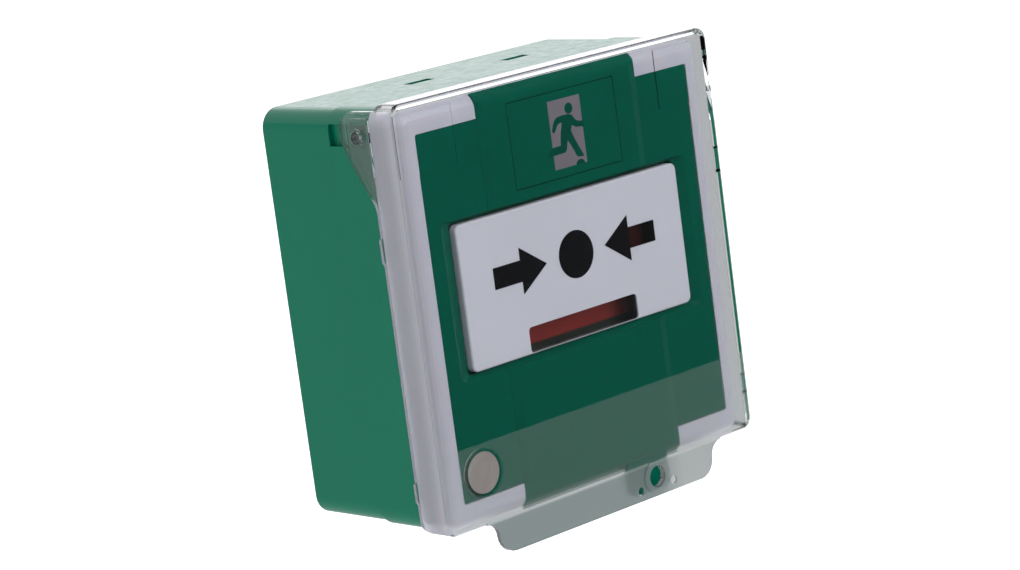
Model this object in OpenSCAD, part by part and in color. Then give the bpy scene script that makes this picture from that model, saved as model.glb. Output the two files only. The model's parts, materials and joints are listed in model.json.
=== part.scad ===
// Resettable call point on a deep surface box, with a hinged clear cover.
// Frame: X right, Y into the wall, Z up. The back of the box lies on Y = 0
// and the operating face looks along -Y. Millimetres throughout.

/* [Body] */
// Width of the front frame
front_w = 93; // [92.6:0.1:93.2]
// Height of the front frame
front_h = 92.4; // [92.2:0.1:92.6]
// Depth of the surface box
box_d = 22.1; // [21.9:0.1:22.1]
// Wall thickness of the surface box
box_wall = 2.1; // [2.0:0.05:2.1]

/* [Cover] */
// Thickness of the clear front sheet
sheet_t = 1.3; // [1.2:0.1:1.4]
// Thickness of the clear side walls
side_t = 1.4; // [1.3:0.1:1.5]
// Diameter of the hinge pins
pin_d = 2.8; // [2.6:0.1:2.8]
// Diameter of the seal hole in the tab
seal_hole_d = 5; // [4.5:0.1:5.5]

/* [Operating element] */
// Width of the white element
elem_w = 68.6; // [68:0.1:68.8]
// Height of the white element
elem_h = 32.4; // [32:0.1:32.6]

/* [Wall fixing] */
// Distance between the two wall fixing slots
fix_pitch = 60.3; // [58:0.1:62]
// Width of each fixing slot
fix_slot_w = 4.6; // [4:0.1:5]
// End-to-end length of each fixing slot
fix_slot_l = 8.6; // [8:0.1:9.2]

/* [Hidden] */
$fn = 48;
e = 0.01;

// Depth levels, front to back
yf = -43.75;   // outer plane of the fascia
yc = -44.2;    // raised middle column of the fascia
yp = -42.2;    // front of the housing's front wall
yr = -36.2;    // front edge of the green housing rim
ys = -box_d;   // seam between housing and box
hx = 46.7;     // half width of the housing rim
hz = 46.5;     // half height of the housing rim
fx = front_w / 2;
fz = front_h / 2;

// Hinge
pin_y = -33.9;
pin_z = 41;

// Operating element: centre height and face
ez = 3.05;
ye = -44.2;
ew = elem_w / 2;
eh = elem_h / 2;

green = [0.02, 0.33, 0.24];
dark_green = [0.0, 0.27, 0.19];
white = [0.86, 0.86, 0.9];
black = [0.08, 0.08, 0.09];
steel = [0.62, 0.62, 0.64];

// Points of an arc, from a0 to a1 degrees
function arc(cx, cy, r, a0, a1, n = 8) =
    [for (i = [0:n]) let (a = a0 + (a1 - a0) * i / n) [cx + r * cos(a), cy + r * sin(a)]];

// Extrude a flat X-Z outline along Y, from y0 to y1
module along_y(y0, y1) {
    translate([0, y1, 0]) rotate([90, 0, 0]) linear_extrude(height = y1 - y0) children();
}

// Rounded rectangle, exact arcs at the corners
module rrect(w, h, r) {
    square([w - 2 * r, h], center = true);
    square([w, h - 2 * r], center = true);
    for (i = [-1, 1], j = [-1, 1])
        translate([i * (w / 2 - r), j * (h / 2 - r)]) circle(r = r);
}

// Upright round bar along Y
module bar_y(x, z, r, y0, y1) {
    translate([x, y0, z]) rotate([-90, 0, 0]) cylinder(r = r, h = y1 - y0);
}

module bar_x(y, z, r, x0, x1) {
    translate([x0, y, z]) rotate([0, 90, 0]) cylinder(r = r, h = x1 - x0);
}

module bar_z(x, y, r, z0, z1) {
    translate([x, y, z0]) cylinder(r = r, h = z1 - z0);
}

module block(x0, x1, y0, y1, z0, z1) {
    translate([x0, y0, z0]) cube([x1 - x0, y1 - y0, z1 - z0]);
}

// Corner of a moulded shell: a post of radius rc whose front edge has radius re
module soft_post(rc, re, y_front, y_back) {
    translate([0, y_back, 0]) rotate([90, 0, 0])
        rotate_extrude($fn = 40)
            polygon(concat([[0, 0], [rc, 0]],
                arc(rc - re, y_back - y_front - re, re, 0, 90, 7),
                [[0, y_back - y_front]]));
}

// Shell form with rounded front edges and rounded corners
module soft_form(hw, z0, z1, rc, re, y_front, y_back) {
    hull() for (x = [-hw + rc, hw - rc], z = [z0 + rc, z1 - rc])
        translate([x, 0, z]) soft_post(rc, re, y_front, y_back);
}

// Coil spring along Z from z = 0, as one swept tube
module coil(r, wire, h, turns, sides = 6, per = 14) {
    n = turns * per;
    function p(i) = let (t = i / per * 360) [r * cos(t), r * sin(t), wire + (h - 2 * wire) * i / n];
    function ring(i) = let (t = i / per * 360, c = p(i))
        [for (k = [0:sides - 1]) let (a = k * 360 / sides)
            c + wire * (cos(a) * [cos(t), sin(t), 0] + sin(a) * [0, 0, 1])];
    pts = [for (i = [0:n]) each ring(i)];
    polyhedron(points = pts, faces = concat(
        [[for (k = [0:sides - 1]) k]],
        [for (i = [0:n - 1], k = [0:sides - 1])
            [i * sides + k, (i + 1) * sides + k, (i + 1) * sides + (k + 1) % sides,
             i * sides + (k + 1) % sides]],
        [[for (k = [sides - 1:-1:0]) n * sides + k]]));
}

// Screw along Y with a cross recess; head towards -Y
module screw_y(x, z, r_head, h_head, r, y_under, y_tip) {
    difference() {
        union() {
            bar_y(x, z, r_head, y_under - h_head, y_under);
            bar_y(x, z, r, y_under - e, y_tip);
        }
        for (a = [0, 90]) translate([x, y_under - h_head, z]) rotate([0, a, 0])
            cube([r_head * 1.3, 1.4, 0.5], center = true);
    }
}

// ---------------------------------------------------------------- surface box

hook_x = 14.9;     // half the distance between the two top latches
hook_c = 3.3;      // their middle, to the right of the centre line
pillar_x = 33;
pillar_z = -38;
entry_y = -12.2;   // axis of the bottom cable entry

module back_box() {
    bx = 46.3;
    bz = 46.1;
    color(green) difference() {
        union() {
            difference() {
                along_y(-box_d, 0) rrect(2 * bx, 2 * bz, 4.6);
                along_y(-box_d - 1, -2.4)
                    rrect(2 * (bx - box_wall), 2 * (bz - box_wall), 2.6);
            }
            // screw pillars with gussets
            for (i = [-1, 1]) {
                bar_y(i * pillar_x, pillar_z, 4, -box_d, -2);
                block(i * pillar_x - 0.8, i * pillar_x + 0.8, -18, -2, -45, pillar_z);
            }
            // stiffening collar round the rear entry
            bar_y(0, 0, 13, -5, -2);
            // pads under the wall screws
            for (i = [-1, 1]) along_y(-3.4, -2)
                translate([i * fix_pitch / 2, 0]) rrect(14, 10, 2);
            // locating rib across the floor
            block(-0.7, 0.7, -4.2, -2, 13, 44.2);
        }
        for (i = [-1, 1]) {
            bar_y(i * pillar_x, pillar_z, 1.52, -box_d - 1, -5);
            // wall fixing slots
            x = i * fix_pitch / 2;
            s = (fix_slot_l - fix_slot_w) / 2;
            for (j = [-1, 1]) bar_y(x + j * s, 0, fix_slot_w / 2, -6, 1);
            block(x - s, x + s, -6, 1, -fix_slot_w / 2, fix_slot_w / 2);
            // latch windows in the top wall
            block(hook_c + i * hook_x - 3.6, hook_c + i * hook_x + 3.6, -15.3, -12.6, 42, 48);
        }
        // rear cable entry
        bar_y(0, 0, 10.25, -6, 1);
        // bottom cable entry
        bar_z(0, entry_y, 8.15, -48, -40);
        // gasket rebate round the open edge
        difference() {
            along_y(-box_d - 1, -box_d + 1) rrect(90.6, 90.2, 3.2);
            along_y(-box_d - 2, -box_d + 2) rrect(86, 85.6, 2);
        }
    }
}

module rear_grommet() {
    color(black) difference() {
        union() {
            bar_y(0, 0, 10.2, -5.2, -0.4);
            bar_y(0, 0, 12.4, -6.4, -5.05);
            bar_y(0, 0, 7, -8.4, -6.2);
        }
        bar_y(0, 0, 8.4, -4.4, 0);
        bar_y(0, 0, 4.6, -9, 0);
    }
}

module blanking_plug() {
    color(green) difference() {
        union() {
            bar_z(0, entry_y, 8.1, -46.1, -42.6);
            bar_z(0, entry_y, 8.9, -43.98, -42.6);
        }
        bar_z(0, entry_y, 6.8, -44.6, -42);
        block(-5, 5, entry_y - 0.7, entry_y + 0.7, -47, -45.2);
    }
}

module seal_gasket() {
    color(black) difference() {
        along_y(-box_d + 0.02, -box_d + 0.98) rrect(90.5, 90.1, 3.15);
        along_y(-box_d - 1, -box_d + 2) rrect(88.6, 88.2, 2.4);
    }
}

// ---------------------------------------------------------------- front housing

cam_x = -22;
cam_y = -29.8;
chassis_x = 36;
chassis_z = [-26, 32.8];
switch_x = 11.4;  // switches and their plungers, either side of the middle
led_z = [-24, -8, 8, 24];

module front_housing() {
    color(green) difference() {
        union() {
            difference() {
                along_y(yr, ys) rrect(2 * hx, 2 * hz, 4.8);
                along_y(yr - 1, ys + 1) rrect(2 * (hx - 2.2), 2 * (hz - 2.2), 2.8);
            }
            // neck that carries the light frame, and the front wall
            difference() {
                along_y(yp, yr + 1.6) rrect(88.1, 87.5, 2.6);
                along_y(yp + 2, yr + 3) rrect(84.3, 83.7, 2);
            }
            difference() {
                along_y(yr, yr + 1.6) rrect(92, 91.6, 4);
                along_y(yr - 1, yr + 3) rrect(84.3, 83.7, 2);
            }
            for (i = [-1, 1]) {
                // hinge bosses behind the pin pockets
                block(i > 0 ? 41.2 : -45.3, i > 0 ? 45.3 : -41.2, yr, -29.8, 37, 44.8);
                // lower screw bosses
                bar_y(i * pillar_x, pillar_z, 3.7, yp + 1, ys);
                // chassis bosses
                for (z = chassis_z) bar_y(i * chassis_x, z, 2.9, yp + 1, -35.65);
                // top latch hooks
                block(hook_c + i * hook_x - 3, hook_c + i * hook_x + 3, -27, ys, 42.4, 44.6);
                block(hook_c + i * hook_x - 3, hook_c + i * hook_x + 3, ys - e, -12.8, 42.4, 43.7);
                block(hook_c + i * hook_x - 3, hook_c + i * hook_x + 3, -15, -12.8, 43.6, 45.6);
            }
            // collar round the key cam
            bar_z(cam_x, cam_y, 5.4, -44.6, -42.6);
        }
        // window for the element carrier
        along_y(yp - 1, yp + 3) translate([0, ez + 0.05]) rrect(69.8, 33.9, 1);
        for (i = [-1, 1]) {
            // pin pockets in the side walls, open at the seam
            block(i > 0 ? hx - 1.45 : -hx - 1, i > 0 ? hx + 1 : -hx + 1.45,
                  -35.5, ys + 1, pin_z - 2.4, pin_z + 2.4);
            // running bores for the hinge pins
            bar_x(pin_y, pin_z, pin_d / 2 + 0.05, i > 0 ? 42.2 : -48, i > 0 ? 48 : -42.2);
            bar_y(i * pillar_x, pillar_z, 1.7, yp - 1, ys + 1);
            bar_y(i * pillar_x, pillar_z, 3, yp - 1, yp + 1.95);
            for (z = chassis_z) bar_y(i * chassis_x, z, 1.22, yp + 2.2, -35);
            // light windows through the neck
            for (z = led_z) block(i > 0 ? 41 : -45, i > 0 ? 45 : -41, -40.1, -37.9, z - 2.2, z + 2.2);
        }
        // key bore through the bottom wall
        bar_z(cam_x, cam_y, 3.06, -48, -42);
        // clip slots for the fascia
        for (x = [-37, 37], z = [-36, 36]) block(x - 2, x + 2, yp - 1, yp + 3, z - 0.8, z + 0.8);
    }
}

module housing_screws() {
    color(steel) for (i = [-1, 1])
        screw_y(i * pillar_x, pillar_z, 2.8, 1.6, 1.5, yp + 1.93, -7);
}

module chassis() {
    color([0.16, 0.17, 0.18]) difference() {
        union() {
            along_y(-35.6, -34) translate([0, 3]) rrect(79, 65, 3);
            // spring cups
            for (i = [-1, 1]) {
                bar_y(i * 30.5, ez, 4.3, -34.1, -30.4);
                for (z = [-18, 30]) bar_y(i * 31.5, z, 2.5, -34.1, -27.52);
            }
            // guide rails of the reset slider
            for (x = [-26.6, -18.4]) block(x, x + 1, -34.1, -30.6, -20, 8);
            block(-26.6, -17.4, -34.1, -30.2, 7.2, 9);
            // stiffening ribs
            block(-12, 12, -34.1, -32.4, 20, 21.4);
            block(-12, 30, -34.1, -32.4, -16.4, -15);
        }
        for (i = [-1, 1]) {
            bar_y(i * 30.5, ez, 3.5, -36, -31);
            bar_y(i * 30.5, ez, 1.9, -36, -29);
            for (z = chassis_z) bar_y(i * chassis_x, z, 1.4, -36, -33);
            for (z = [-18, 30]) bar_y(i * 31.5, z, 1.02, -31.5, -27);
            // openings over the switches
            block(i * switch_x - 5.9, i * switch_x + 5.9, -36, -33, ez - 4.6, ez + 4.6);
        }
        // clearance over the key cam
        block(cam_x - 5.4, cam_x + 5.4, -36, -33, -31, -24);
        // light and cable opening
        along_y(-36, -33) translate([0, 27]) rrect(30, 7, 2);
    }
}

module chassis_screws() {
    color(steel) for (i = [-1, 1], z = chassis_z) {
        difference() {
            union() {
                bar_y(i * chassis_x, z, 2.5, -34, -32.4);
                bar_y(i * chassis_x, z, 1.2, -39.6, -33.9);
            }
            for (a = [0, 90]) translate([i * chassis_x, -32.4, z]) rotate([0, a, 0])
                cube([3.2, 1.3, 0.5], center = true);
        }
    }
}

// ---------------------------------------------------------------- light frame

col_w = 49;      // width of the fascia's middle column
col_x = 0.8;     // its offset to the right
sign_x = 1.4;

module diffuser_frame() {
    color(white) difference() {
        soft_form(fx, -fz, fz, 3.6, 3.4, yf, yr - 0.02);
        // bore for the housing neck
        along_y(yp - 0.05, yr + 1) rrect(88.3, 87.7, 2.7);
        // opening for the fascia plate and its two extensions
        along_y(yf - 1, yp + 1) rrect(83.4, 81, 0.6);
        along_y(yf - 1, yp + 0.06) translate([col_x, 0]) square([col_w + 0.2, 100], center = true);
        // glue grooves on the inner lip
        for (i = [-1, 1]) block(i > 0 ? 42.2 : -43, i > 0 ? 43 : -42.2, yp - 0.3, yp + 0.1, -30, 30);
    }
}

module led_strips() {
    color([0.1, 0.3, 0.16]) for (i = [-1, 1])
        block(i > 0 ? 39.1 : -40.1, i > 0 ? 40.1 : -39.1, -40.1, -36.2, -29.8, 28);
}

module edge_leds() {
    color([0.95, 0.93, 0.7]) for (i = [-1, 1], z = led_z)
        translate([i > 0 ? 40.12 : -41.62, -40, z - 1.4]) cube([1.5, 2.0, 2.8]);
}

// ---------------------------------------------------------------- fascia

lug_x = 14.6;    // lug behind the seal hole
rec_x = 37.9;    // recess outline at the front plane
rec_z0 = -14.5;
rec_z1 = 20.4;
open_w = 69.5;   // opening round the element
open_h = 33.3;

// Recess with sloping sides, cut from the front
module recess() {
    zc = (rec_z0 + rec_z1) / 2;
    h = rec_z1 - rec_z0;
    hull() {
        along_y(yc - 1.2, yf) translate([0, zc]) rrect(2 * rec_x, h, 1.6);
        along_y(-42.9, -42.7) translate([0, ez + 0.05]) rrect(open_w + 0.6, open_h + 0.3, 1.2);
    }
}

// Middle column with soft ramps on its two long sides
module column() {
    w = col_w / 2;
    intersection() {
        soft_form(fx - 0.05, -fz + 0.05, fz - 0.05, 3.6, 3.4, yc, yp);
        translate([col_x, 0, -60]) linear_extrude(height = 120)
            polygon([[-w, yp], [-w, yf - 0.05], [-w + 0.25, yf - 0.12], [-w + 1.9, yc + 0.02],
                     [-w + 2.4, yc], [w - 2.4, yc], [w - 1.9, yc + 0.02], [w - 0.25, yf - 0.12],
                     [w, yf - 0.05], [w, yp]]);
    }
}

module fascia() {
    color(dark_green) difference() {
        union() {
            intersection() {
                along_y(yf, yp) rrect(83.2, 80.8, 0.5);
                soft_form(41.6, -40.4, 40.4, 0.6, 0.3, yf, yp + 1);
            }
            column();
            // lug behind the cover's seal hole
            difference() {
                along_y(yf + 0.25, yp - 0.02) translate([lug_x, -47.8]) rrect(12.6, 10, 1.8);
                block(5, 23, yf, yp + 1, -44, -40);
            }
        }
        recess();
        along_y(yc - 1, yp + 1) translate([0, ez + 0.05]) rrect(open_w, open_h, 1.1);
        // seat for the sign insert
        along_y(yc - 1, yc + 0.9) translate([sign_x, 32.5]) rrect(33.1, 19.3, 0.5);
    }
}

module sign_insert() {
    color([0.0, 0.3, 0.2]) along_y(yc + 0.02, yc + 0.88) translate([sign_x, 32.5]) rrect(32.7, 18.9, 0.4);
}

// ---------------------------------------------------------------- element

win_w = 33.8;
win_h = 5.7;
win_z = -10;

module operating_element() {
    color(white) difference() {
        intersection() {
            soft_form(ew, ez - eh, ez + eh, 1.6, 0.5, ye, ye + 3);
            along_y(ye - 1, ye + 1.95) square([200, 200], center = true);
        }
        along_y(ye - 1, ye + 3) translate([0, win_z]) rrect(win_w, win_h, 0.9);
    }
}

module element_window() {
    color([0.15, 0.1, 0.1]) along_y(ye + 0.35, ye + 1.5)
        translate([0, win_z]) rrect(win_w - 0.1, win_h - 0.1, 0.85);
}

module element_carrier() {
    color([0.05, 0.2, 0.15]) {
        difference() {
            union() {
                along_y(ye + 1.98, -38.6) translate([0, ez]) rrect(67.6, 31.6, 1.2);
                // flange behind the housing's front wall
                along_y(-40.1, -38.6) translate([0, ez]) rrect(73.6, 36.6, 1.2);
                // guide posts inside the springs
                for (i = [-1, 1]) bar_y(i * 30.5, ez, 1.6, -38.7, -34);
                // strikers over the switches
                for (i = [-1, 1]) block(i * switch_x - 1.6, i * switch_x + 1.6, -38.7, -36.4, ez - 1.6, ez + 1.6);
            }
            // tray behind the element
            along_y(ye + 1, -40.6) translate([0, ez + 4]) rrect(64.4, 20.4, 0.8);
            // flag channel, open at the bottom
            block(-18.8, 18.8, ye + 1, -40.6, -20, ez + 4);
        }
    }
}

spring_l = 7.3;

module element_springs() {
    color(steel) for (i = [-1, 1])
        translate([i * 30.5, -38.5, ez]) rotate([-90, 0, 0]) coil(2.6, 0.28, spring_l, 5);
}

module indicator_flag() {
    color([0.42, 0.09, 0.09]) difference() {
        union() {
            block(-18, 18, -42.05, -41.3, -11.2, -4.2);
            block(-6, 6, -42.05, -40.85, -4.3, 4);
        }
        block(-2, 2, -43, -41, -0.5, 1.5);
    }
}

// ---------------------------------------------------------------- electronics

board_y = -27.5;

module microswitches() {
    color(black) for (i = [-1, 1]) difference() {
        block(i * switch_x - 5.7, i * switch_x + 5.7, -33.6, board_y, ez - 3, ez + 3);
        for (x = [-3.2, 3.2]) bar_z(i * switch_x + x, -30.5, 1, ez - 4, ez + 4);
        block(i * switch_x - 1.25, i * switch_x + 1.25, -34, -29.9, ez - 1.25, ez + 1.25);
    }
}

module switch_plungers() {
    color([0.75, 0.15, 0.12]) for (i = [-1, 1])
        block(i * switch_x - 1.15, i * switch_x + 1.15, -36.1, -32.2, ez - 1.15, ez + 1.15);
}

module main_board() {
    color([0.04, 0.26, 0.14]) difference() {
        along_y(board_y, board_y + 1.6) translate([0, 6]) rrect(72, 56, 1.5);
        for (i = [-1, 1], z = [-18, 30]) bar_y(i * 31.5, z, 1.3, -29, -25);
        for (x = [-12:6:12]) bar_y(x + 6, -19, 0.5, -29, -25);
    }
}

module board_screws() {
    color(steel) for (i = [-1, 1], z = [-18, 30]) {
        difference() {
            union() {
                bar_y(i * 31.5, z, 2.1, board_y + 1.6, board_y + 3);
                bar_y(i * 31.5, z, 1, board_y - 3.6, board_y + 1.7);
            }
            translate([i * 31.5, board_y + 3, z]) cube([5, 1.2, 0.5], center = true);
        }
    }
}

module piezo_sounder() {
    color(black) difference() {
        bar_y(16, 20, 11.5, board_y + 1.6, board_y + 8.6);
        bar_y(16, 20, 1.2, board_y + 5, board_y + 10);
    }
}

module reed_switch() {
    color([0.6, 0.7, 0.65]) {
        bar_x(-39, -31.6, 1.1, -41.5, -30.5);
        bar_x(-39, -31.6, 0.35, -42, -29.4);
    }
}

term_n = 6;
term_p = 5;

module terminal_block() {
    color([0.1, 0.28, 0.5]) difference() {
        block(-15, 15, board_y + 1.6, board_y + 11.6, -17, -7);
        for (i = [0:term_n - 1]) {
            x = -12.5 + i * term_p;
            bar_y(x, -10, 1.75, board_y + 8, board_y + 12);
            block(x - 1.7, x + 1.7, board_y + 3.4, board_y + 7.2, -18, -10.5);
        }
    }
}

module terminal_screws() {
    color(steel) for (i = [0:term_n - 1]) difference() {
        bar_y(-12.5 + i * term_p, -10, 1.7, board_y + 8.02, board_y + 10.6);
        translate([-12.5 + i * term_p, board_y + 10.6, -10]) cube([4, 1.2, 0.5], center = true);
    }
}

// ---------------------------------------------------------------- key reset

// Face of the cam: a low land, a ramp in flat steps, then a high land
ramp_z = -31.6;  // level of the low land
ramp_h = 3;      // rise over a quarter turn
ramp_n = 12;     // steps of the ramp

// Sector of the cam between two angles, standing on the cam's base disc
module cam_step(a0, a1, h) {
    linear_extrude(height = h)
        polygon(concat([[0, 0]], arc(0, 0, 4, a0, a1, 3)));
}

module reset_cam() {
    color([0.9, 0.9, 0.92]) difference() {
        union() {
            bar_z(cam_x, cam_y, 3, -46.4, ramp_z - 1);
            bar_z(cam_x, cam_y, 4.2, -42.55, -41.2);
            bar_z(cam_x, cam_y, 4.2, ramp_z - 2, ramp_z);
            translate([cam_x, cam_y, ramp_z - 0.5]) {
                for (k = [1:ramp_n])
                    cam_step(255 - 90 * k / ramp_n, 255.3 - 90 * (k - 1) / ramp_n,
                             0.5 + ramp_h * (k - 0.5) / ramp_n);
                cam_step(120, 165.3, 0.5 + ramp_h);
            }
        }
        block(cam_x - 2, cam_x + 2, cam_y - 0.7, cam_y + 0.7, -47, -41.5);
        // hollow middle, clear of the slider's foot
        bar_z(cam_x, cam_y, 1.4, -36, -25);
    }
}

module reset_slider() {
    color([0.85, 0.85, 0.8]) union() {
        block(-25.3, -18.7, -33.75, -31.2, -24, -2);
        // foot that rides on the cam's face
        block(cam_x - 0.6, cam_x + 0.6, -33.75, -32.2, -30.7, -23.9);
    }
}

module reset_spring() {
    color(steel) translate([cam_x, -32.2, -1.95]) coil(1.3, 0.2, 9.1, 7);
}

// ---------------------------------------------------------------- clear cover

cov_x = 48.4;
cov_top = 47.9;
cov_bot = -46.2;
cov_front = -44.5 - sheet_t;
cov_lip = -39.9;  // back edge of the top wall
seal_x = 15.3;
mag_x = -36;
mag_z = -34.6;

// Side outline of wall and hinge ear, as [y, z]
ear_pts = concat(
    [[-60, 60], [cov_lip, 60], [cov_lip, 46.6]],
    arc(-32.4, 42.6, 3.9, 90, 0, 9),
    arc(-33, 40.6, 4.5, 0, -30, 4),
    [[-32.1, 33.1]],
    arc(-30.9, 24.2, 6, 145, 180, 5),
    [[-36.9, 19.4], [-36.3, 18.9], [-36.3, 14.0], [-36.9, 13.4]],
    [[-36.9, -34.4], [-36.3, -34.9], [-36.3, -38.8], [-36.9, -39.3]],
    arc(-39.9, -43.2, 3, 0, -90, 6),
    [[-60, -46.2]]);

// Lower tab outline, as [x, z]; left half mirrored from the right
tab_half = concat([[37.2, -45]], arc(37.2, -49.6, 3.4, 90, 180, 6),
                  arc(29.6, -49.6, 4.2, 0, -90, 6));

module tab_outline() {
    polygon(concat(tab_half, [for (i = [len(tab_half) - 1:-1:0]) [-tab_half[i][0], tab_half[i][1]]]));
}

module flip_cover() {
    color([0.8, 0.87, 0.88, 0.35]) difference() {
        union() {
            difference() {
                intersection() {
                    soft_form(cov_x, cov_bot, cov_top, 2.6, 1.0, cov_front, -28);
                    rotate([90, 0, 90]) translate([0, 0, -60])
                        linear_extrude(height = 120) polygon(ear_pts);
                }
                // inside of the tray, open at the bottom
                soft_form(cov_x - side_t, -70, cov_top - 1.3, 1.4, 0.4, cov_front + sheet_t, -20);
                // the ears stay flat behind the top wall
                block(side_t - cov_x, cov_x - side_t, cov_lip - 0.5, -20, -70, 44);
                block(side_t - cov_x, cov_x - side_t, cov_lip + 0.01, -20, 43, 60);
            }
            // finger tab
            along_y(cov_front + 0.05, cov_front + sheet_t) tab_outline();
            // ring round the seal hole
            bar_y(seal_x, -49.3, 4, cov_front - 0.3, cov_front + 1);
            for (i = [-1, 1]) {
                // thicker plate in each ear
                rotate([90, 0, 90]) translate([0, 0, i > 0 ? cov_x - 0.4 : -cov_x - 0.4])
                    linear_extrude(height = 0.8)
                        polygon([[-38, 45.2], [-32.2, 45.2], [-31.2, 44.2], [-31.2, 36.4],
                                 [-33.4, 33], [-34.4, 32.4], [-38, 32.4]]);
                // pads at the two top corners
                block(i > 0 ? 31.2 : -47.1, i > 0 ? 47.1 : -31.2,
                      cov_front + sheet_t - 0.3, cov_front + sheet_t + 0.25, 32, 45.4);
                bar_x(pin_y, pin_z, 2.1, i > 0 ? cov_x : -cov_x - 0.6, i > 0 ? cov_x + 0.6 : -cov_x);
            }
            // ring that holds the magnet
            difference() {
                bar_y(mag_x, mag_z, 5.3, cov_front + 1, cov_front + sheet_t + 0.3);
                bar_y(mag_x, mag_z, 4.62, cov_front + 0.6, -40);
            }
        }
        bar_y(seal_x, -49.3, seal_hole_d / 2, cov_front - 2, -40);
        // gate marks beside the seal hole
        for (i = [-1, 1]) bar_y(seal_x + i * 5.3, -51.5, 1, cov_front - 1, cov_front + 0.5);
        for (i = [-1, 1])
            bar_x(pin_y, pin_z, pin_d / 2 + 0.01, i > 0 ? 40 : -60, i > 0 ? 60 : -40);
        bar_y(mag_x, mag_z, 4.62, cov_front + 0.7, -40);
    }
}

module hinge_pins() {
    color([0.75, 0.8, 0.8]) for (i = [-1, 1])
        bar_x(pin_y, pin_z, pin_d / 2, i > 0 ? 42.5 : -cov_x - 0.5, i > 0 ? cov_x + 0.5 : -42.5);
}

module cover_magnet() {
    color([0.6, 0.57, 0.55]) bar_y(mag_x, mag_z, 4.6, cov_front + 0.72, cov_front + 1.6);
}

back_box();
rear_grommet();
blanking_plug();
seal_gasket();
front_housing();
housing_screws();
chassis();
chassis_screws();
diffuser_frame();
led_strips();
edge_leds();
fascia();
sign_insert();
operating_element();
element_window();
element_carrier();
element_springs();
indicator_flag();
microswitches();
switch_plungers();
main_board();
board_screws();
piezo_sounder();
reed_switch();
terminal_block();
terminal_screws();
reset_cam();
reset_slider();
reset_spring();
flip_cover();
hinge_pins();
cover_magnet();
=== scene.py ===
"""Resettable call point with a clear hinged cover, dressed round its CAD frame."""
import json
import math

import bmesh
import bpy
from mathutils import Matrix, Vector


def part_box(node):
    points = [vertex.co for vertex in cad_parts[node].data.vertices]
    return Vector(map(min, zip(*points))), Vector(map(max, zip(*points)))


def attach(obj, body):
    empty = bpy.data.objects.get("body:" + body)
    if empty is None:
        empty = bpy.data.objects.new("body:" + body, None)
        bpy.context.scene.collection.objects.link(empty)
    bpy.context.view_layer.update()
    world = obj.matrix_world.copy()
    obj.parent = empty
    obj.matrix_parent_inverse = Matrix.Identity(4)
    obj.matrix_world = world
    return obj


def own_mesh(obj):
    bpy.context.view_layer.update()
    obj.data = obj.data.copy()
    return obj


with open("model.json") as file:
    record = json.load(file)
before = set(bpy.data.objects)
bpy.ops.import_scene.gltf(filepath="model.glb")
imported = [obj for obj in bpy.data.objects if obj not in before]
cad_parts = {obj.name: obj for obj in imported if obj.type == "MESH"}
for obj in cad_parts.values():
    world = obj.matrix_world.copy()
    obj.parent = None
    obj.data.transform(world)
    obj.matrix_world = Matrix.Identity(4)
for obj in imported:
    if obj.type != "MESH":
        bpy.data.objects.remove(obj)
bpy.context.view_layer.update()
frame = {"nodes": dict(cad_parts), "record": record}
NODES = frame["nodes"]
MM = 0.001
scene = bpy.context.scene


# ---------------------------------------------------------------- camera

SENSOR = 36.0       # mm
CLIP = 0.01, 50.0   # m


def aim(azimuth, elevation, roll, distance, target, lens):
    """Camera looking at target from an azimuth and elevation, rolled about its axis."""
    a, e, r = (math.radians(v) for v in (azimuth, elevation, roll))
    back = Vector((math.sin(a) * math.cos(e), -math.cos(a) * math.cos(e), math.sin(e)))
    level = (-back).cross(Vector((0, 0, 1))).normalized()
    upright = level.cross(-back)
    right = level * math.cos(r) + upright * math.sin(r)
    up = upright * math.cos(r) - level * math.sin(r)
    data = bpy.data.cameras.new("camera")
    data.lens = lens
    data.sensor_width = SENSOR
    data.clip_start, data.clip_end = CLIP
    cam = bpy.data.objects.new("camera", data)
    turn = Matrix((right, up, back)).transposed().to_4x4()
    cam.matrix_world = Matrix.Translation(Vector(target) + back * distance) @ turn
    scene.collection.objects.link(cam)
    scene.camera = cam


aim(azimuth=-42.377, elevation=10.927, roll=-7.565, distance=0.74883,
    target=(-0.00805, -0.03100, -0.00029), lens=119.12)


# ---------------------------------------------------------------- shader nodes

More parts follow.
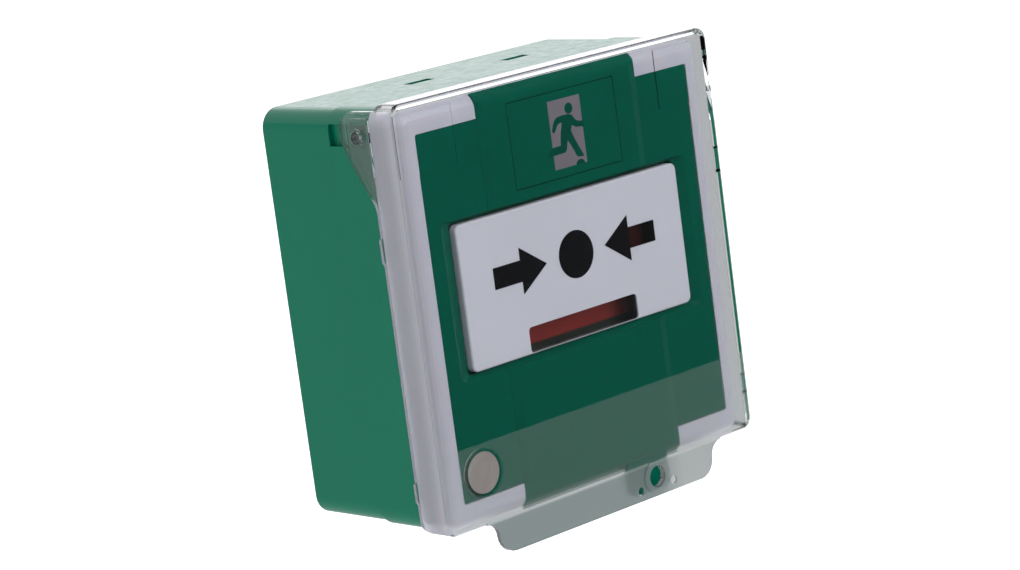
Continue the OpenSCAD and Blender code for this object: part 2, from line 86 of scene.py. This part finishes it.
class Tree:
    """A node tree, with helpers to add nodes and wire them."""

    def __init__(self, tree):
        self.tree = tree

    def node(self, kind, **values):
        """Add a node; each value goes to its property or else its input of that name."""
        n = self.tree.nodes.new(kind)
        for key, value in values.items():
            if hasattr(n, key):
                setattr(n, key, value)
            else:
                n.inputs[key.replace("_", " ")].default_value = value
        return n

    def link(self, output, socket):
        """Wire an output into an input."""
        self.tree.links.new(output, socket)

    def put(self, value, socket):
        """Give an input a value: an output, a colour or a number."""
        if isinstance(value, tuple):
            socket.default_value = (*value, 1)
        elif isinstance(value, float):
            socket.default_value = value
        else:
            self.link(value, socket)

    def calc(self, operation, a, b):
        """A sum, difference or product of two outputs or numbers."""
        n = self.node("ShaderNodeMath", operation=operation)
        self.put(a, n.inputs[0])
        self.put(b, n.inputs[1])
        return n.outputs[0]

    def span(self, source, a, b, low, high, curve="LINEAR"):
        """Map source from the range a to b onto low to high, held at both ends."""
        n = self.node("ShaderNodeMapRange", interpolation_type=curve)
        for key, value in (("From Min", a), ("From Max", b), ("To Min", low), ("To Max", high)):
            n.inputs[key].default_value = value
        self.link(source, n.inputs["Value"])
        return n.outputs["Result"]

    def axes(self, vector):
        """The X, Y and Z outputs of a vector."""
        n = self.node("ShaderNodeSeparateXYZ")
        self.link(vector, n.inputs["Vector"])
        return n.outputs["X"], n.outputs["Y"], n.outputs["Z"]

    def blend(self, factor, a, b):
        """Mix two colours, each a tuple or an output."""
        n = self.node("ShaderNodeMix", data_type="RGBA")
        self.link(factor, n.inputs[0])
        for value, slot in zip((a, b), [s for s in n.inputs if s.type == "RGBA"]):
            self.put(value, slot)
        return [o for o in n.outputs if o.type == "RGBA"][0]

    def choose(self, factor, a, b):
        """Go from value a to value b as factor goes from 0 to 1."""
        n = self.node("ShaderNodeMix")
        self.link(factor, n.inputs[0])
        self.put(a, n.inputs[2])
        self.put(b, n.inputs[3])
        return n.outputs[0]


class Mat(Tree):
    """A procedural material: a Principled shader with helpers for its inputs."""

    NOISE_RANGE = (0.3, 0.7)   # where nearly all of a noise texture's values lie

    def __init__(self, name, color, rough, **consts):
        self.mat = bpy.data.materials.new(name)
        self.mat.use_nodes = True
        super().__init__(self.mat.node_tree)
        self.bsdf = self.tree.nodes["Principled BSDF"]
        self.color = color
        self.bsdf.inputs["Base Color"].default_value = (*color, 1)
        self.bsdf.inputs["Roughness"].default_value = rough
        for key, value in consts.items():
            self.bsdf.inputs[key.replace("_", " ")].default_value = value

    def drive(self, output, name):
        """Wire an output into one of the shader's inputs."""
        self.link(output, self.bsdf.inputs[name])

    def place(self):
        """Object coordinates in metres."""
        return self.node("ShaderNodeTexCoord").outputs["Object"]

    def noise(self, scale, detail=3.0, rough=0.5):
        """Noise over the piece; a larger scale is a finer pattern."""
        n = self.node("ShaderNodeTexNoise", Scale=scale, Detail=detail, Roughness=rough)
        self.link(self.place(), n.inputs["Vector"])
        return n.outputs["Fac"]

    def tint(self, fac, dark, light):
        """Vary the base colour between two factors of itself."""
        low = tuple(c * dark for c in self.color)
        high = tuple(min(1, c * light) for c in self.color)
        self.drive(self.blend(fac, low, high), "Base Color")

    def rough(self, fac, low, high):
        """Vary the roughness between two values."""
        self.drive(self.span(fac, *self.NOISE_RANGE, low, high), "Roughness")

    def bump(self, fac, strength, height):
        """Tilt the shading as if the surface rose by up to a height in metres."""
        n = self.node("ShaderNodeBump", Strength=strength, Distance=height)
        self.link(fac, n.inputs["Height"])
        self.drive(n.outputs["Normal"], "Normal")

    def ripple(self):
        """The slow ripple of a moulded gloss face."""
        self.bump(self.noise(scale=90, detail=1.0), strength=0.25, height=0.000004)


# ---------------------------------------------------------------- materials

def moulded(name, color, rough, grain=2600, grain_height=0.00002, **consts):
    """Injection-moulded plastic: fine spark-eroded grain and slow tone drift."""
    m = Mat(name, color, rough, **consts)
    m.tint(m.noise(scale=55), dark=0.95, light=1.05)
    m.rough(m.noise(scale=420, detail=2.0), low=rough - 0.035, high=rough + 0.035)
    m.bump(m.noise(grain, detail=2.0, rough=0.6), strength=0.35, height=grain_height)
    return m.mat


def polished(name, color, rough, vary=0.03, **consts):
    """Glossy plate: slow ripple and faint tone drift."""
    m = Mat(name, color, rough, **consts)
    m.tint(m.noise(scale=40, detail=2.0), dark=1 - vary, light=1 + vary)
    m.rough(m.noise(scale=900, detail=2.0), low=rough - 0.01, high=rough + 0.015)
    m.ripple()
    return m.mat


def metal(name, color, rough, grain=3000, metallic=1.0):
    """Plated or drawn metal with a fine grain in its shine."""
    m = Mat(name, color, rough, Metallic=metallic)
    fine = m.noise(grain, detail=2.0, rough=0.6)
    m.tint(m.noise(scale=150, detail=2.0), dark=0.94, light=1.04)
    m.rough(fine, low=max(rough - 0.08, 0.05), high=rough + 0.1)
    m.bump(fine, strength=0.2, height=0.00001)
    return m.mat


# the clear cover: polished, with a textured band and a coarser tab below it (places in mm); the
# tab's colour is painted shade, standing in for a shadowed floor seen through it
COVER_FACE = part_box("flip_cover")[0][1] / MM
TEXTURE_DEPTH = 0.65   # how far behind the cover's face the texture reaches
FROST_TOP = -28.1
TAB_TOP = -46.0
TAB_SHADE_FADE = (15.0, 24.0)   # where the tab's painted shade goes from darker at its left to paler at its right
CLEAR_SPOTS = ((10.0, -51.5, 1.0), (20.6, -51.5, 1.0), (-36.0, -34.6, 5.3))   # x, z, radius
SPOT_EDGE = (0.8, 1.15)   # where a spot's edge starts and ends, as shares of radius squared
CLEAR = (0.90, 0.915, 0.915)
FROST = (0.80, 0.84, 0.83)
# painted shade: the tab's colours, darker at its left and paler at its right, stand in for a
# shadowed floor seen through it
TAB_SHADE_COLORS = ((0.20, 0.25, 0.245), (0.40, 0.43, 0.43))
CLEAR_HAZE, FROST_HAZE, TAB_HAZE = 0.0, 0.045, 0.55   # share of light thrown back
CLEAR_ROUGH, FROST_ROUGH, TAB_ROUGH = 0.006, 0.22, 0.44


def clear_moulding():
    """The cover's plastic, textured on its outer face as the constants above say, with painted
    shade for the tab's colour.
    """
    m = Mat("clear_cover", CLEAR, CLEAR_ROUGH, Transmission_Weight=1.0, IOR=1.585)
    x, y, z = m.axes(m.place())

    def below(source, edge, blur):
        """1 below an edge and 0 above it, blurred by so many mm on each side."""
        return m.span(source, (edge - blur) * MM, (edge + blur) * MM, 1.0, 0.0)

    def layered(clear, frost, tab):
        """A value that steps from clear to frost in the band and on to tab in the tab."""
        steps = m.calc("ADD", m.calc("MULTIPLY", band, frost - clear),
                       m.calc("MULTIPLY", tab_grain_and_shade, tab - frost))
        return m.calc("ADD", steps, clear)

    band = m.calc("MULTIPLY", below(z, FROST_TOP, blur=0.06),
                  below(y, COVER_FACE + TEXTURE_DEPTH, blur=0.05))
    for spot_x, spot_z, radius in CLEAR_SPOTS:
        dx = m.calc("SUBTRACT", x, spot_x * MM)
        dz = m.calc("SUBTRACT", z, spot_z * MM)
        squared = m.calc("ADD", m.calc("MULTIPLY", dx, dx), m.calc("MULTIPLY", dz, dz))
        start, end = ((radius * MM) ** 2 * share for share in SPOT_EDGE)
        band = m.calc("MULTIPLY", band, m.span(squared, start, end, 0.0, 1.0))
    # the tab's mask carries its coarser texture and also its painted shade
    tab_grain_and_shade = m.calc("MULTIPLY", below(z, TAB_TOP, blur=0.5), band)
    # painted shade on the tab, paler towards its right end
    tab = m.blend(m.span(x, *(v * MM for v in TAB_SHADE_FADE), 0.0, 1.0), *TAB_SHADE_COLORS)
    m.drive(m.blend(tab_grain_and_shade, m.blend(band, CLEAR, FROST), tab), "Base Color")
    haze = layered(CLEAR_HAZE, FROST_HAZE, TAB_HAZE)
    m.drive(m.calc("SUBTRACT", 1.0, haze), "Transmission Weight")
    m.drive(layered(CLEAR_ROUGH, FROST_ROUGH, TAB_ROUGH), "Roughness")
    grain = m.noise(scale=3200, detail=2.0, rough=0.6)
    m.bump(m.calc("MULTIPLY", grain, band), strength=0.5, height=0.00002)
    return m.mat


WINDOW_TINTS = ((0.86, 0.74, 0.74), (0.10, 0.11, 0.11))   # at its left end, at its right end
WINDOW_FADE = (8.0, 15.5)   # mm


def tinted_window():
    """Smoked window, darker towards its right end."""
    m = Mat("dark_window", WINDOW_TINTS[0], rough=0.2, Transmission_Weight=1.0, IOR=1.49)
    x, _, _ = m.axes(m.place())
    fade = m.span(x, *(v * MM for v in WINDOW_FADE), 0.0, 1.0)
    m.drive(m.blend(fade, *WINDOW_TINTS), "Base Color")
    return m.mat


# each slot's name, base colour and roughness, then what sets it apart
MATS = {
    "green_shell": moulded("green_shell", (0.0, 0.150, 0.085), 0.22,
                           grain_height=0.000008, Specular_IOR_Level=0.2),
    "green_gloss": polished("green_gloss", (0.0, 0.100, 0.062), 0.14, Specular_IOR_Level=0.12),
    "white_diffuser": polished("white_diffuser", (0.56, 0.55, 0.63), 0.30,
                               Specular_IOR_Level=0.3, Subsurface_Weight=0.25,
                               Subsurface_Scale=0.002),
    "white_gloss": polished("white_gloss", (0.66, 0.66, 0.74), 0.22, Specular_IOR_Level=0.2),
    "dark_window": tinted_window(),
    "carrier_green": moulded("carrier_green", (0.004, 0.075, 0.035), 0.5),
    "flag_red": moulded("flag_red", (0.62, 0.045, 0.035), 0.5),
    "dark_moulding": moulded("dark_moulding", (0.022, 0.023, 0.026), 0.45),
    "black_rubber": moulded("black_rubber", (0.018, 0.018, 0.018), 0.75, grain=1500),
    "screw_steel": metal("screw_steel", (0.56, 0.56, 0.58), 0.32),
    "spring_steel": metal("spring_steel", (0.62, 0.62, 0.64), 0.25),
    "board_green": polished("board_green", (0.012, 0.10, 0.04), 0.3),
    "led_body": polished("led_body", (0.85, 0.8, 0.5), 0.2, Subsurface_Weight=0.3,
                         Subsurface_Scale=0.001),
    "reed_glass": polished("reed_glass", (0.55, 0.75, 0.65), 0.05, Transmission_Weight=0.8),
    "terminal_blue": moulded("terminal_blue", (0.02, 0.11, 0.34), 0.4),
    "clear_cover": clear_moulding(),
    "magnet_nickel": metal("magnet_nickel", (0.47, 0.42, 0.40), 0.50, grain=1200, metallic=0.6),
}

SLOTS = {s["node"]: s["material_slot"] for s in frame["record"]["subparts"]}
for name, obj in NODES.items():
    obj.data.materials.clear()
    obj.data.materials.append(MATS[SLOTS[name]])


# ---------------------------------------------------------------- edges and shading

SMOOTH_ANGLE = 32   # degrees; sharper edges stay crisp


def smooth(name):
    """Smooth shading between the flats of a CAD piece's curved faces."""
    for p in NODES[name].data.polygons:
        p.use_smooth = True
    NODES[name].data.set_sharp_from_angle(angle=math.radians(SMOOTH_ANGLE))


def soften(obj, name, width, angle):
    """Bevel the edges sharper than an angle (degrees) by a width (mm)."""
    bevel = obj.modifiers.new(name, "BEVEL")
    bevel.width = width * MM
    bevel.segments = 2
    bevel.limit_method = "ANGLE"
    bevel.angle_limit = math.radians(angle)


soften(NODES["flip_cover"], "soft_edges", width=0.1, angle=50)
for name in NODES:
    smooth(name)


# ---------------------------------------------------------------- springs

def compress(name, axis, fixed_end):
    """Give a spring its own copy of its mesh; the point at its fixed end (mm) on the given axis
    is worked out but not used, so the spring keeps its length.
    """
    low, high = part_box(name)
    anchor = [(a + b) / 2 for a, b in zip(low, high)]
    anchor[axis] = fixed_end * MM
    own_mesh(NODES[name])


Y, Z = 1, 2
compress("element_springs", axis=Y, fixed_end=-31.2)
compress("reset_spring", axis=Z, fixed_end=7.2)


# ---------------------------------------------------------------- flat marks

INK_FILM = 0.03    # mm, thickness of the print on the element
SIGN_FILM = 0.02   # mm, thickness of each layer of the pictogram
FILM_EDGE = 0.02   # mm, rounding of a film's edges


def arc(cx, cz, r, start, end, n):
    """n + 1 points along an arc in X-Z (mm), between two angles in degrees."""
    angles = [math.radians(start + (end - start) * i / n) for i in range(n + 1)]
    return [(cx + r * math.cos(a), cz + r * math.sin(a)) for a in angles]


def disc(cx, cz, r, n):
    """The outline of a disc in n points."""
    return arc(cx, cz, r, 0, 360, n)[:-1]


def plate(name, outlines, y_face, thick, material, body):
    """Thin printed or inlaid film: closed outlines in X-Z (mm), standing proud of y_face."""
    bm = bmesh.new()
    for pts in outlines:
        back = [bm.verts.new((x * MM, y_face * MM, z * MM)) for x, z in pts]
        front = [bm.verts.new((x * MM, (y_face - thick) * MM, z * MM)) for x, z in pts]
        n = len(pts)
        bm.faces.new(front)
        bm.faces.new(list(reversed(back)))
        for i in range(n):
            j = (i + 1) % n
            bm.faces.new((front[j], front[i], back[i], back[j]))
    bmesh.ops.recalc_face_normals(bm, faces=bm.faces)
    mesh = bpy.data.meshes.new(name)
    bm.to_mesh(mesh)
    bm.free()
    obj = bpy.data.objects.new(name, mesh)
    scene.collection.objects.link(obj)
    mesh.materials.append(material)
    soften(obj, "ease", width=FILM_EDGE, angle=60)
    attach(obj, body)
    return obj


ELEM_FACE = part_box("operating_element")[0][1] / MM
SIGN_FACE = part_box("sign_insert")[0][1] / MM
BLACK = (0.006, 0.006, 0.008)
INK = polished("print_black", BLACK, 0.25, Specular_IOR_Level=0.1)
PALE = polished("print_pale", (0.20, 0.18, 0.21), 0.3, vary=0.06, Specular_IOR_Level=0.2)
SIGN_GREEN = polished("print_green", (0.0, 0.075, 0.047), 0.2, Specular_IOR_Level=0.12)

# arrows, as seen on the right one: places along X, half widths along Z (mm)
ARROW_TIP, ARROW_NECK, ARROW_TAIL = 9.0, 16.9, 25.1
HEAD_HALF, SHAFT_HALF = 5.25, 2.4
MARK_Z = 5.55
DOT_X, DOT_R = 0.1, 5.35
TINT_START = 13.5   # mm; the tint's places below are shares of the way from here to the tail
TINT = ((0.0, BLACK), (0.28, BLACK), (0.34, (0.030, 0.008, 0.008)),
        (0.52, (0.022, 0.006, 0.006)), (0.70, (0.003, 0.003, 0.003)),
        (1.0, (0.003, 0.003, 0.003)))


def thin_ink():
    """Black print that lets a little red through on the shaft of the right arrow."""
    m = Mat("print_thin_black", BLACK, rough=0.25, Specular_IOR_Level=0.1)
    x, _, _ = m.axes(m.place())
    ramp = m.node("ShaderNodeValToRGB")
    stops = ramp.color_ramp.elements
    while len(stops) < len(TINT):
        stops.new(0.5)
    for stop, (place, color) in zip(stops, TINT):
        stop.position = place
        stop.color = (*color, 1)
    m.link(m.span(x, TINT_START * MM, ARROW_TAIL * MM, 0.0, 1.0), ramp.inputs["Fac"])
    m.drive(ramp.outputs["Color"], "Base Color")
    m.ripple()
    return m.mat


def arrow(side):
    """Arrow pointing to the middle from one side: 1 is the right, -1 the left."""
    pts = [(ARROW_TAIL, SHAFT_HALF), (ARROW_NECK, SHAFT_HALF), (ARROW_NECK, HEAD_HALF),
           (ARROW_TIP, 0), (ARROW_NECK, -HEAD_HALF), (ARROW_NECK, -SHAFT_HALF),
           (ARROW_TAIL, -SHAFT_HALF)]
    return [(side * x, MARK_Z + z) for x, z in (pts if side > 0 else reversed(pts))]


plate("element_dot", [disc(DOT_X, MARK_Z, DOT_R, 96)], ELEM_FACE, INK_FILM, INK,
      "element")
plate("element_arrows", [arrow(-1), arrow(1)], ELEM_FACE, INK_FILM, thin_ink(), "element")

# exit pictogram: a pale doorway, and a running figure over a low mound at its foot
DOOR_LEFT, DOOR_RIGHT, DOOR_FOOT, DOOR_TOP = -2.85, 7.05, 24.9, 40.1
DOOR = [(DOOR_LEFT, DOOR_FOOT), (DOOR_RIGHT, DOOR_FOOT), (DOOR_RIGHT, DOOR_TOP),
        (DOOR_LEFT, DOOR_TOP)]
HEAD = disc(3.35, 37.6, 1.22, 40)
FIGURE = [(2.9, 36.4), (4.05, 36.05), (4.6, 35.3), (5.3, 34.55), (6.3, 34.25), (7.4, 34.15),
          (7.45, 32.75), (6.2, 32.95), (5.0, 33.1), (4.4, 33.35), (3.75, 33.8), (3.3, 32.7),
          (3.55, 31.9), (4.3, 30.3), (5.2, 28.6), (6.05, 27.1), (6.35, 26.45), (5.9, 26.4),
          (4.75, 26.5), (4.15, 26.75), (3.5, 28.1), (2.6, 29.75), (1.9, 30.7), (1.55, 29.4),
          (1.25, 28.55), (0.75, 28.2), (-2.7, 28.1), (-4.9, 28.1), (-4.4, 28.7), (-3.5, 29.5),
          (-2.7, 29.9), (-0.35, 29.95), (-0.2, 31.3), (0.15, 32.9), (0.6, 34.1),
          (0.75, 34.9), (0.05, 34.85), (-0.7, 34.45), (-1.25, 33.6), (-1.75, 33.05),
          (-2.35, 33.15), (-2.4, 33.7), (-1.95, 34.8), (-1.35, 35.75), (-0.55, 36.25),
          (0.8, 36.4)]
MOUND_HEIGHT = 0.75   # share of a half circle's
MOUND = [(x, DOOR_FOOT + (z - DOOR_FOOT) * MOUND_HEIGHT)
         for x, z in arc(5.0, DOOR_FOOT, 1.35, 180, 0, 16)]
plate("sign_doorway", [DOOR], SIGN_FACE, SIGN_FILM, PALE, "base")
plate("sign_figure", [HEAD, FIGURE, MOUND], SIGN_FACE - SIGN_FILM, SIGN_FILM, SIGN_GREEN,
      "base")


# ---------------------------------------------------------------- floor and lights

FLOOR_Z = -0.30
FLOOR_HALF = 8   # half its side, in metres
floor_mat = Mat("floor_paper", (0.93, 0.93, 0.93), rough=0.9, Emission_Color=(1, 1, 1, 1),
                Emission_Strength=0.5)
floor_mat.tint(floor_mat.noise(scale=3, detail=2.0), dark=0.995, light=1.005)
bm = bmesh.new()
corners = [(-FLOOR_HALF, -FLOOR_HALF), (FLOOR_HALF, -FLOOR_HALF),
           (FLOOR_HALF, FLOOR_HALF), (-FLOOR_HALF, FLOOR_HALF)]
bm.faces.new([bm.verts.new((x, y, FLOOR_Z)) for x, y in corners])
mesh = bpy.data.meshes.new("floor")
bm.to_mesh(mesh)
bm.free()
mesh.materials.append(floor_mat.mat)
floor = bpy.data.objects.new("floor", mesh)
scene.collection.objects.link(floor)
# kept out of reflections and out of what shows through the clear cover
floor.visible_glossy = False
floor.visible_transmission = False


def area(name, place, target, size, power, color=(1, 1, 1)):
    """Area light facing target, unseen through clear plastic."""
    data = bpy.data.lights.new(name, "AREA")
    data.shape = "RECTANGLE"
    data.size, data.size_y = size
    data.energy = power
    data.color = color
    obj = bpy.data.objects.new(name, data)
    obj.location = place
    obj.rotation_mode = "QUATERNION"
    obj.rotation_quaternion = (Vector(target) - Vector(place)).to_track_quat("-Z", "Y")
    scene.collection.objects.link(obj)
    obj.visible_transmission = False


OBJECT = (0, 0, 0)
area("overhead", (-0.3, -0.5, 1.7), OBJECT, size=(1.6, 1.2), power=3)
area("left_front", (-1.5, -1.5, 0.9), OBJECT, size=(1.0, 1.0), power=5, color=(0.98, 0.99, 1.0))
area("front", (0.4, -2.0, 0.9), OBJECT, size=(1.4, 1.0), power=24, color=(0.99, 0.99, 1.0))
area("floor_wash", (0, 3.2, 2.6), (0, 3.2, FLOOR_Z), size=(8, 6), power=130)
# the clear cover and its pins throw no shadow
NODES["flip_cover"].visible_shadow = False
NODES["hinge_pins"].visible_shadow = False


# ---------------------------------------------------------------- surroundings

# A pale wall behind, dim in front, and a brighter panel behind to the right. Each fade
# says where it starts and ends, as a part of the way's unit vector, then the light at both.
WALL_DEPTH = (-0.67, -0.15, 0.05, 1.0)
WALL_HEIGHT = (0.0, 0.5, 0.64, 0.40)
PANEL_WAY = (0.67, 0.74, 0.0)
PANEL_SPREAD = (0.70, 0.92, 0.0, 1.0)
PANEL_FOOT = (0.0, 0.10, 0.0, 1.1)
PANEL_TOP = (0.40, 0.8, 1.0, 0.0)
NO_BOUNCE = (0.0, 1.0, 1.0, 0.0)   # 1 for a ray that has not bounced yet, else 0
DAYLIGHT = (0.97, 0.98, 1.0)
BACKDROP = 1.1        # what the camera sees past the object: white
SEEN_THROUGH = 0.62   # what shows straight through clear plastic: an even grey

world = bpy.data.worlds.new("studio")
scene.world = world
world.use_nodes = True
sky = Tree(world.node_tree)


def fade(source, limits):
    """Smooth change of light along a source, as the limits above say."""
    return sky.span(source, *limits, curve="SMOOTHSTEP")


way = sky.node("ShaderNodeTexCoord").outputs["Generated"]
_, behind, height = sky.axes(way)
facing = sky.node("ShaderNodeVectorMath", operation="DOT_PRODUCT")
facing.inputs[1].default_value = PANEL_WAY
sky.link(way, facing.inputs[0])
wall = sky.calc("MULTIPLY", fade(behind, WALL_DEPTH), fade(height, WALL_HEIGHT))
panel = sky.calc("MULTIPLY", fade(height, PANEL_FOOT), fade(height, PANEL_TOP))
panel = sky.calc("MULTIPLY", fade(facing.outputs["Value"], PANEL_SPREAD), panel)
level = sky.calc("ADD", wall, panel)
ray = sky.node("ShaderNodeLightPath").outputs
bounces = sky.calc("ADD", ray["Glossy Depth"], ray["Diffuse Depth"])
straight = sky.calc("MULTIPLY", fade(bounces, NO_BOUNCE), ray["Is Transmission Ray"])
level = sky.choose(straight, level, SEEN_THROUGH)
level = sky.choose(ray["Is Camera Ray"], level, BACKDROP)
background = world.node_tree.nodes["Background"]
sky.put(DAYLIGHT, background.inputs["Color"])
sky.link(level, background.inputs["Strength"])
scene.view_settings.view_transform = "Standard"
